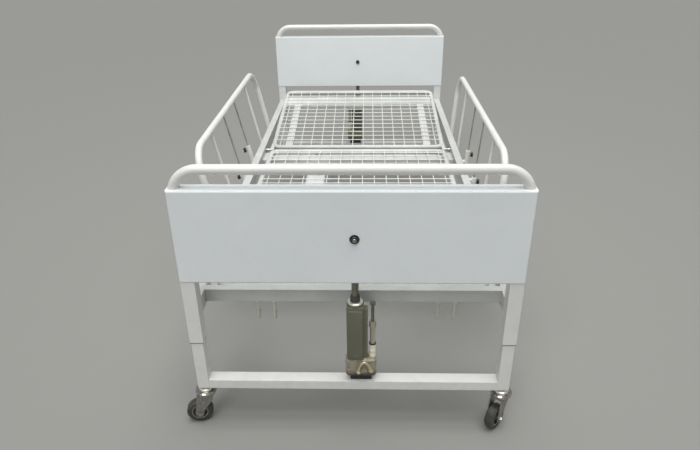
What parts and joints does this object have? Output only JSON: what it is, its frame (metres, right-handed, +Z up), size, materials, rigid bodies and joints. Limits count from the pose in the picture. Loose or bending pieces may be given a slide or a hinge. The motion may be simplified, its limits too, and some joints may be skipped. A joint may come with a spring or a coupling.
{
  "type": "hospital cot",
  "caption": "Height-adjustable hospital cot with wire-mesh deck, raising backrest, drop-side guards, panelled end frames on telescopic legs and swivel casters",
  "frame": {"origin": "on the floor under the middle of the cot", "axes": "+X to the right seen from the foot end, +Y towards the head end, +Z up"},
  "size_m": [1.092, 2.2431, 0.863],
  "materials": {
    "panel_paint": "satin powder coat",
    "frame_paint": "satin powder coat",
    "wire_paint": "epoxy dipped",
    "ram_steel": "oiled",
    "casting": "dull cast",
    "cylinder_paint": "worn satin",
    "strut_metal": "dull plated",
    "chrome": "worn chrome",
    "fork_steel": "zinc plated, dull",
    "caster_rubber": "matt",
    "zinc": "zinc plated",
    "hook_coat": "plastic dipped",
    "rod_steel": "bare drawn steel",
    "housing_plastic": "matt",
    "black_plastic": "matt"
  },
  "bodies": {
    "upper_frame": {"side_rail_left": "frame_paint", "side_rail_right": "frame_paint", "deck_crossmembers": "frame_paint", "bag_hooks": "hook_coat", "hinge_pins": "zinc", "seat_frame": "frame_paint", "seat_wires": "wire_paint", "actuator_housing": "housing_plastic", "sleeve_bushes": "black_plastic", "centre_bolts": "zinc", "left_guard_holders": "frame_paint", "right_guard_holders": "frame_paint", "foot_panel_front": "panel_paint", "foot_panel_rear": "panel_paint", "foot_handle": "frame_paint", "foot_sleeves": "frame_paint", "foot_end_beam": "frame_paint", "foot_lift_ram": "ram_steel", "head_panel_front": "panel_paint", "head_panel_rear": "panel_paint", "head_handle": "frame_paint", "head_sleeves": "frame_paint", "head_end_beam": "frame_paint", "head_lift_ram": "ram_steel"},
    "foot_leg_frame": {"foot_legs": "frame_paint", "foot_floor_beam": "frame_paint", "foot_lift_base": "casting", "foot_lift_cylinder": "cylinder_paint", "foot_lift_strut": "strut_metal", "foot_caster_heads": "chrome"},
    "head_leg_frame": {"head_legs": "frame_paint", "head_floor_beam": "frame_paint", "head_lift_base": "casting", "head_lift_cylinder": "cylinder_paint", "head_lift_strut": "strut_metal", "head_caster_heads": "chrome"},
    "foot_left_fork": {"foot_left_caster_fork": "fork_steel"},
    "foot_left_wheel": {"foot_left_caster_wheel": "caster_rubber"},
    "foot_right_fork": {"foot_right_caster_fork": "fork_steel"},
    "foot_right_wheel": {"foot_right_caster_wheel": "caster_rubber"},
    "head_left_fork": {"head_left_caster_fork": "fork_steel"},
    "head_left_wheel": {"head_left_caster_wheel": "caster_rubber"},
    "head_right_fork": {"head_right_caster_fork": "fork_steel"},
    "head_right_wheel": {"head_right_caster_wheel": "caster_rubber"},
    "backrest": {"backrest_frame": "frame_paint", "backrest_wires": "wire_paint", "backrest_stiffeners": "frame_paint", "backrest_head_plate": "frame_paint", "backrest_lever": "frame_paint"},
    "backrest_drive_rod": {"actuator_push_rod": "zinc"},
    "left_guard": {"left_guard_frame": "frame_paint", "left_guard_bars": "frame_paint", "left_guard_rods": "rod_steel"},
    "left_front_plunger": {"left_front_knob": "black_plastic"},
    "left_rear_plunger": {"left_rear_knob": "black_plastic"},
    "right_guard": {"right_guard_frame": "frame_paint", "right_guard_bars": "frame_paint", "right_guard_rods": "rod_steel"},
    "right_front_plunger": {"right_front_knob": "black_plastic"},
    "right_rear_plunger": {"right_rear_knob": "black_plastic"}
  },
  "joints": [
    {"name": "foot_lift", "type": "slide", "parent": "upper_frame", "child": "foot_leg_frame", "axis": [0, 0, -1], "range_m": [0, 0.17]},
    {"name": "head_lift", "type": "slide", "parent": "upper_frame", "child": "head_leg_frame", "axis": [0, 0, -1], "range_m": [0, 0.17]},
    {"name": "foot_left_swivel", "type": "hinge", "parent": "foot_leg_frame", "child": "foot_left_fork", "pos_m": [-0.4535, -1.06, 0.112], "axis": [0, 0, 1], "continuous": true},
    {"name": "foot_right_swivel", "type": "hinge", "parent": "foot_leg_frame", "child": "foot_right_fork", "pos_m": [0.4535, -1.06, 0.112], "axis": [0, 0, 1], "continuous": true},
    {"name": "head_left_swivel", "type": "hinge", "parent": "head_leg_frame", "child": "head_left_fork", "pos_m": [-0.4535, 1.06, 0.112], "axis": [0, 0, 1], "continuous": true},
    {"name": "head_right_swivel", "type": "hinge", "parent": "head_leg_frame", "child": "head_right_fork", "pos_m": [0.4535, 1.06, 0.112], "axis": [0, 0, 1], "continuous": true},
    {"name": "foot_left_roll", "type": "hinge", "parent": "foot_left_fork", "child": "foot_left_wheel", "pos_m": [-0.48009, -1.06469, 0.04], "axis": [0.1736, -0.9848, 0], "continuous": true},
    {"name": "foot_right_roll", "type": "hinge", "parent": "foot_right_fork", "child": "foot_right_wheel", "pos_m": [0.43615, -1.08068, 0.04], "axis": [0.766, -0.6428, 0], "continuous": true},
    {"name": "head_left_roll", "type": "hinge", "parent": "head_left_fork", "child": "head_left_wheel", "pos_m": [-0.44, 1.08338, 0.04], "axis": [-0.866, 0.5, 0], "continuous": true},
    {"name": "head_right_roll", "type": "hinge", "parent": "head_right_fork", "child": "head_right_wheel", "pos_m": [0.44427, 1.08537, 0.04], "axis": [-0.9397, -0.342, 0], "continuous": true},
    {"name": "backrest_hinge", "type": "hinge", "parent": "upper_frame", "child": "backrest", "pos_m": [0, 0.2175, 0.43], "axis": [1, 0, 0], "range_deg": [-7.7, 52.3]},
    {"name": "backrest_drive", "type": "slide", "parent": "upper_frame", "child": "backrest_drive_rod", "axis": [0, 1, 0], "range_m": [-0.0102, 0.068]},
    {"name": "left_guard_drop", "type": "slide", "parent": "upper_frame", "child": "left_guard", "axis": [0.213, 0, -0.977], "range_m": [0, 0.195]},
    {"name": "right_guard_drop", "type": "slide", "parent": "upper_frame", "child": "right_guard", "axis": [-0.0819, 0, -0.9966], "range_m": [0, 0.195]},
    {"name": "left_front_pull", "type": "slide", "parent": "upper_frame", "child": "left_front_plunger", "axis": [-0.977, 0, -0.213], "range_m": [0, 0.008], "stiffness_N_per_m": 600},
    {"name": "left_rear_pull", "type": "slide", "parent": "upper_frame", "child": "left_rear_plunger", "axis": [-0.977, 0, -0.213], "range_m": [0, 0.008], "stiffness_N_per_m": 600},
    {"name": "right_front_pull", "type": "slide", "parent": "upper_frame", "child": "right_front_plunger", "axis": [0.9966, 0, -0.0819], "range_m": [0, 0.008], "stiffness_N_per_m": 600},
    {"name": "right_rear_pull", "type": "slide", "parent": "upper_frame", "child": "right_rear_plunger", "axis": [0.9966, 0, -0.0819], "range_m": [0, 0.008], "stiffness_N_per_m": 600}
  ],
  "couplings": [
    {"joint": "head_lift", "follows": "foot_lift", "ratio": 1},
    {"joint": "backrest_drive", "follows": "backrest_hinge", "m_per_rad": 0.074}
  ]
}
